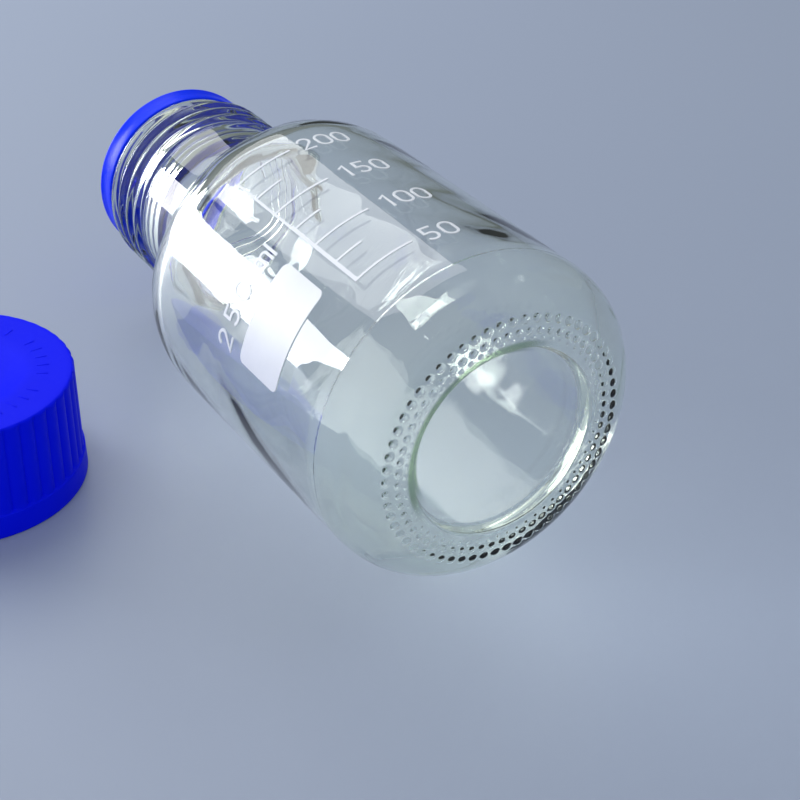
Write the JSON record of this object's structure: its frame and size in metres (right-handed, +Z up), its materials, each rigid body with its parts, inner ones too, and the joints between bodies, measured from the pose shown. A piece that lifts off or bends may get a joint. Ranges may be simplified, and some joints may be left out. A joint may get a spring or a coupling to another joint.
{
  "type": "laboratory reagent bottle",
  "caption": "Clear glass screw-neck reagent bottle lying on its side, open, with a blue pouring ring on its mouth and its blue ribbed screw cap standing beside the neck.",
  "frame": {"origin": "centre of the land that the base stands on; the bottle lies on its side, so the bench is one body radius, 35 mm, below the origin", "axes": "+X is the base's outward normal, so the mouth points along -X; +Z is up; the loose cap stands on the -Y side of the neck"},
  "size_m": [0.1385, 0.1395, 0.0701],
  "materials": {
    "glass": "clear",
    "ring_plastic": "gloss",
    "cap_plastic": "satin",
    "seal_rubber": "matt",
    "white_enamel": "satin"
  },
  "bodies": {
    "bottle": {"glass_bottle": "glass", "graduation_scale": "white_enamel", "numeral_50": "white_enamel", "numeral_100": "white_enamel", "numeral_150": "white_enamel", "numeral_200": "white_enamel", "capacity_mark": "white_enamel", "writing_panel": "white_enamel"},
    "ring": {"pouring_ring": "ring_plastic"},
    "seal": {"cap_seal": "seal_rubber"},
    "cap": {"screw_cap": "cap_plastic"}
  },
  "joints": [
    {"name": "ring_pull", "type": "slide", "parent": "bottle", "child": "ring", "axis": [-1, 0, 0], "range_m": [0, 0.02]},
    {"name": "cap_lift", "type": "slide", "parent": "bottle", "child": "seal", "axis": [0, 0, 1], "range_m": [0, 0.07]},
    {"name": "cap_turn", "type": "hinge", "parent": "seal", "child": "cap", "pos_m": [-0.091, -0.0774, -0.022], "axis": [0, 0, 1], "continuous": true}
  ]
}
